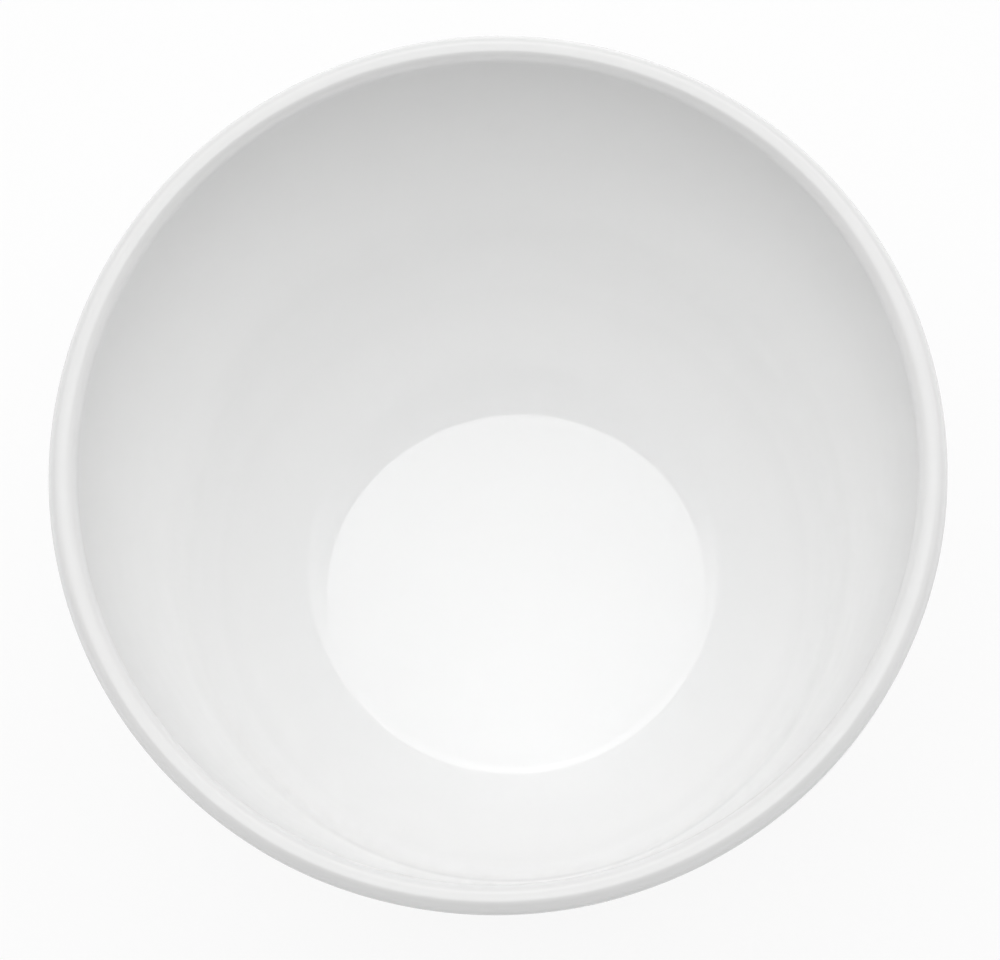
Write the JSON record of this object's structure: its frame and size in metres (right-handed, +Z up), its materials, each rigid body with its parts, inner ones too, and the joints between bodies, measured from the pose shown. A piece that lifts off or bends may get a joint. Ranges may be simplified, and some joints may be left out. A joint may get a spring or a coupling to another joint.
{
  "type": "espresso cup",
  "caption": "Small handle-less espresso cup of white glazed porcelain: leaning round wall, rolled lip, rounded bend into a shallow dished floor, bare foot ring to stand on.",
  "frame": {"origin": "centre of the foot ring's standing face, on the table", "axes": "+Z up along the cup's axis, out of its mouth; +X and +Y across it, any way round"},
  "size_m": [0.06, 0.06, 0.05],
  "materials": {
    "bare_porcelain": "matt fired clay, polished on the standing edge",
    "inside_glaze": "clear glossy glaze over white porcelain",
    "outside_glaze": "clear glossy glaze over white porcelain"
  },
  "bodies": {
    "root": {"porcelain_body": "bare_porcelain", "inside_glaze": "inside_glaze", "outside_glaze": "outside_glaze", "base_glaze": "outside_glaze"}
  },
  "joints": []
}
